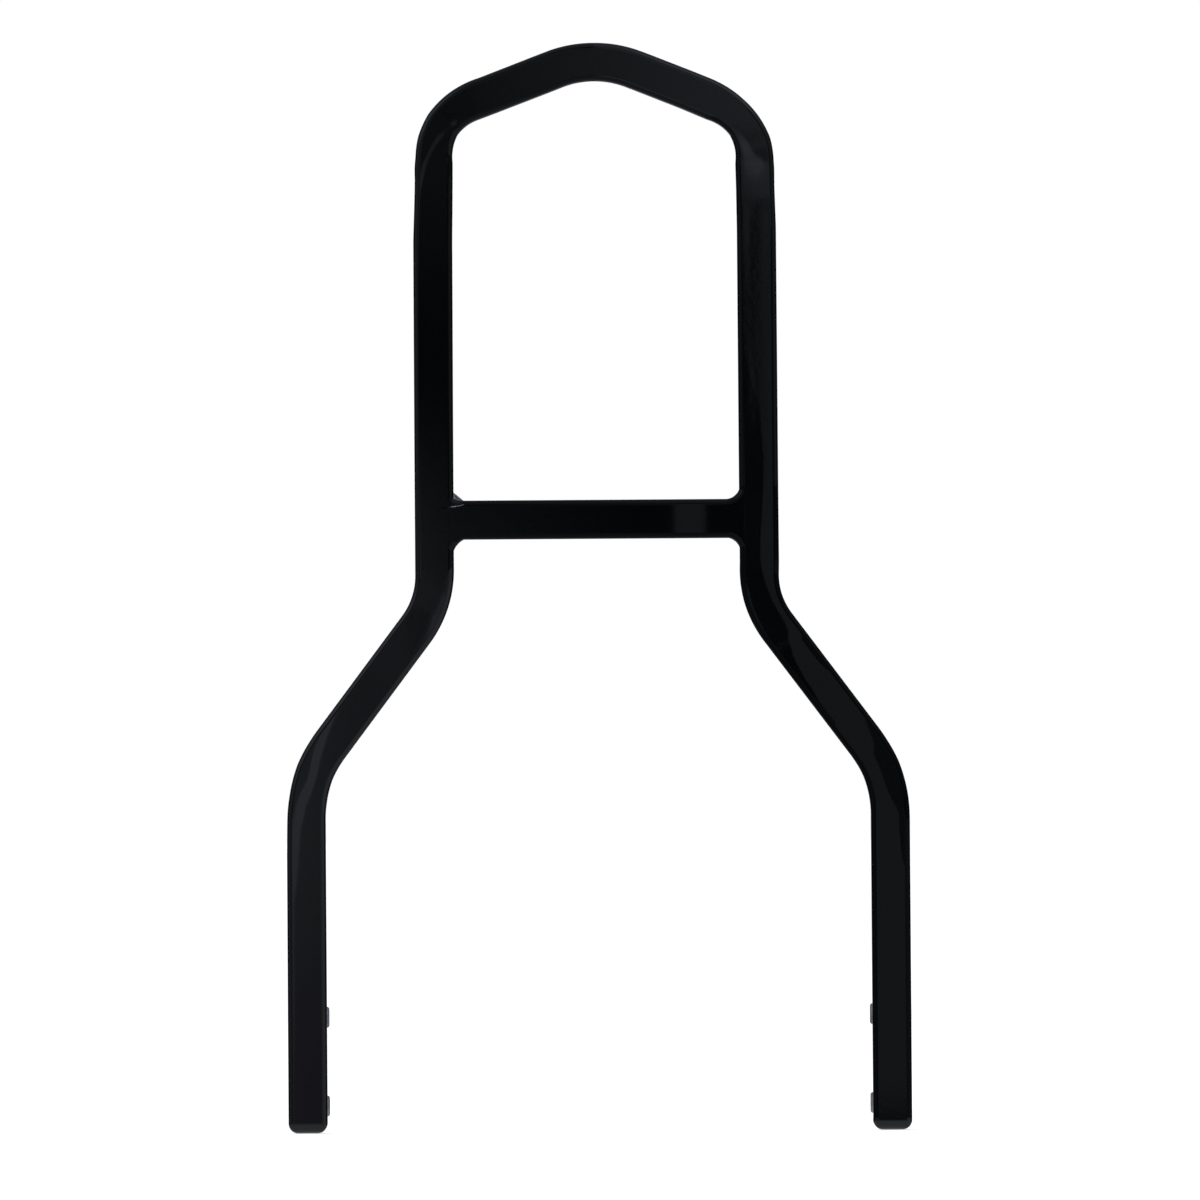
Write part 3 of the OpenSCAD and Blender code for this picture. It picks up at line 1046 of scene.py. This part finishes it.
def left_wall(shade, x, z):
    """The wall on the left, brighter further out but for one step, and dimmer low down."""
    reach = shade.math("SUBTRACT", 20.0, shade.math("MAXIMUM", x, -125.0))
    leftward = shade.math("MAXIMUM", reach, 0.0)
    wall = shade.add(shade.times(leftward, 0.0009), shade.times(leftward, leftward, 6.4e-6))
    step_up = shade.times(shade.fall(x, -76, -66), 0.05)
    step_down = shade.times(shade.fall(x, -96, -76), -0.07)
    wall = shade.add(wall, shade.add(step_up, step_down))
    dimmer = shade.add(0.66, shade.times(shade.rise(z, -205, -90), 0.34))
    return shade.times(wall, shade.fall(z, -3, 100), dimmer)


def top_wall(shade, x, z):
    """The wall above, which starts higher on the right and is brighter there."""
    rightness = shade.rise(x, -40, 40)
    high_left = shade.times(shade.rise(z, 100, 190), shade.math("SUBTRACT", 1.0, rightness))
    high = shade.add(high_left, shade.times(shade.rise(z, 155, 195), rightness))
    return shade.times(high, shade.add(0.178, shade.times(shade.held(x, -60.0, 75.0), 0.0019)))


def right_wall(shade, x, z):
    """The lighter wall on the right, whose edge the right half mirrors, with its dim foot."""
    foot = shade.add(0.35, shade.times(shade.rise(z, -214, -200), 0.65))
    return shade.times(shade.rise(x, 63, 65.5), shade.fall(z, 155, 195), foot, 0.157)


def near_pattern(shade, x, z, away):
    """Walls and cards round the camera, in front and behind alike, which the flats mirror."""
    card_height = shade.add(shade.fall(z, 20, 80), shade.rise(z, 125, 165))
    left_card = shade.times(shade.fall(x, -165, -135), card_height, 0.24)
    wide = shade.add(left_wall(shade, x, z), left_card, top_wall(shade, x, z))
    strip_x = shade.times(shade.rise(x, 29.5, 31.5), shade.fall(x, 42.9, 43.3))
    strip = shade.times(strip_x, shade.rise(z, 12, 18), shade.fall(z, 46, 52), 0.16)
    right_card = shade.times(shade.rise(x, 78, 108), shade.rise(z, 100, 130), 0.2)
    low_card = shade.times(shade.fall(z, -75, -55), shade.rise(x, 25, 38), shade.fall(x, 59, 63), 0.04)
    narrow = shade.add(right_wall(shade, x, z), strip, right_card, low_card)
    wide = shade.times(wide, shade.fall(away, 1200, 4500))
    return wide, shade.times(narrow, shade.fall(away, 450, 1200))


def far_cards(shade, x, z, front):
    """Cards further out, low on the right and high above, which the bent edges mirror."""
    to_sides = shade.rise(shade.add(x, z), 100, 700)
    low_right = shade.times(shade.rise(x, 200, 1200), to_sides, shade.fall(z, -60, 0), 0.28)
    above_slope = shade.math("SUBTRACT", z, shade.times(shade.math("ABSOLUTE", x), 0.8))
    high_right = shade.times(shade.rise(above_slope, 200, 1500), shade.rise(x, -100, 300), 0.17)
    return shade.times(shade.add(low_right, high_right), shade.rise(front, -0.3, 0.1))


def all_round(shade, direction, front, height):
    """What lies further round, by how far a direction points to the front and up, from -1 to 1."""
    ring = shade.times(shade.fall(front, 0.72, 0.98), shade.rise(front, -0.5, 0.1))
    ring = shade.times(ring, shade.add(0.14, shade.times(shade.held(height, -0.25, 0.25), 0.3)))
    under = shade.times(shade.fall(height, -0.12, -0.03), shade.rise(front, -0.3, 0.1), 0.12)
    beside = shade.times(shade.facing(direction, (-0.85, -0.5, 0.0), 15, 50), 0.07)
    upper_left = shade.times(shade.facing(direction, (-0.72, -0.45, 0.53), 10, 28), 0.35)
    upper_right = shade.times(shade.facing(direction, (0.55, -0.4, 0.73), 10, 28), 0.35)
    behind = shade.fall(front, -0.5, 0.3)
    below = shade.times(shade.fall(height, -0.6, -0.15), behind, 0.3)
    above = shade.times(shade.rise(height, 0.15, 0.6), behind, 0.22)
    return ring, under, beside, upper_left, upper_right, below, above


def room_tone(shade, direction):
    """Brightness of the room in the gloss, and how purple it is, from 0 to 1, low on the left."""
    toward_x, toward_y, height = shade.parts(direction)
    ahead = shade.math("MAXIMUM", shade.math("ABSOLUTE", toward_y), 0.001)
    plane_mm = PLANE / MM
    x = shade.times(shade.math("DIVIDE", toward_x, ahead), plane_mm)
    z = shade.times(shade.math("DIVIDE", height, ahead), plane_mm)
    away = shade.length(x, z)
    front = shade.times(toward_y, -1.0)
    wide, narrow = near_pattern(shade, x, z, away)
    pattern = shade.add(wide, narrow, far_cards(shade, x, z, front))
    tone = shade.add(ROOM_DIM, pattern, *all_round(shade, direction, front, height))
    purple = shade.times(shade.fall(x, -105, -85), shade.fall(z, -190, -140), shade.fall(away, 350, 600))
    return tone, purple


def room_world():
    """White to the camera, soft white light on the colours, and a dim room in the gloss."""
    world = bpy.data.worlds.new("studio")
    bpy.context.scene.world = world
    world.use_nodes = True
    tree = world.node_tree
    tree.nodes.clear()
    coords = tree.nodes.new("ShaderNodeTexCoord")
    tone, purple = room_tone(Shading(tree), coords.outputs["Generated"])
    gloss = tree.nodes.new("ShaderNodeBackground")
    tree.links.new(colour_ramp(tree, purple, ROOM_TINTS), gloss.inputs["Color"])
    tree.links.new(tone, gloss.inputs["Strength"])
    soft = add_node(tree, "ShaderNodeBackground", {"Color": WHITE, "Strength": SOFT_LIGHT})
    white = add_node(tree, "ShaderNodeBackground", {"Color": WHITE, "Strength": 1.0})
    path = tree.nodes.new("ShaderNodeLightPath")
    unseen = mix_shaders(tree, path.outputs["Is Glossy Ray"], soft.outputs[0], gloss.outputs[0])
    final = mix_shaders(tree, path.outputs["Is Camera Ray"], unseen, white.outputs[0])
    out = tree.nodes.new("ShaderNodeOutputWorld")
    tree.links.new(final, out.inputs["Surface"])


def floor_material():
    """White to the camera but for the shadow, and in the gloss a glow round the legs' ends."""
    material, tree, out = new_material("pale_floor")
    shade = Shading(tree)
    path = tree.nodes.new("ShaderNodeLightPath")
    card = add_node(tree, "ShaderNodeBsdfDiffuse", {"Color": FLOOR_GREY})
    whitening = add_node(tree, "ShaderNodeEmission", {"Strength": FLOOR_WHITENING})
    both = tree.nodes.new("ShaderNodeAddShader")
    tree.links.new(card.outputs[0], both.inputs[0])
    tree.links.new(whitening.outputs[0], both.inputs[1])
    by_camera = mix_shaders(tree, path.outputs["Is Camera Ray"], card.outputs[0], both.outputs[0])
    place = tree.nodes.new("ShaderNodeNewGeometry")
    x, y, _ = shade.parts(place.outputs["Position"])
    away = shade.length(shade.math("SUBTRACT", shade.math("ABSOLUTE", x), LEG_X), y)
    glow = add_node(tree, "ShaderNodeEmission", {"Color": GLOW_COLOUR, "Strength": GLOW_STRENGTH})
    beyond = tree.nodes.new("ShaderNodeBsdfTransparent")
    fading = shade.rise(away, GLOW_FROM, GLOW_TO)
    mirrored = mix_shaders(tree, fading, glow.outputs[0], beyond.outputs[0])
    by_gloss = mix_shaders(tree, path.outputs["Is Glossy Ray"], by_camera, mirrored)
    tree.links.new(by_gloss, out.inputs["Surface"])
    return material


def floor():
    """Pale floor just below the legs' ends."""
    mesh = bpy.data.meshes.new("floor")
    corners = [(x * FLOOR_REACH, y * FLOOR_REACH, 0) for x, y in ((-1, -1), (1, -1), (1, 1), (-1, 1))]
    mesh.from_pydata(corners, [], [(0, 1, 2, 3)])
    piece = bpy.data.objects.new("floor", mesh)
    piece.location.z = -FLOOR_DROP
    bpy.context.scene.collection.objects.link(piece)
    mesh.materials.append(floor_material())


def soft_lamp(name, place, size, power):
    """A square soft lamp aimed at the part, unseen in gloss."""
    data = bpy.data.lights.new(name, "AREA")
    data.size = size
    data.energy = power
    lamp = bpy.data.objects.new(name, data)
    lamp.location = place
    lamp.rotation_euler = (Vector(LAMP_AIM) - Vector(place)).to_track_quat("-Z", "Y").to_euler()
    lamp.visible_glossy = False
    bpy.context.scene.collection.objects.link(lamp)


camera()
room_world()
floor()
soft_lamp("key", place=(-1.6, -1.8, 2.2), size=1.4, power=30)
bpy.context.scene.view_settings.view_transform = "Standard"
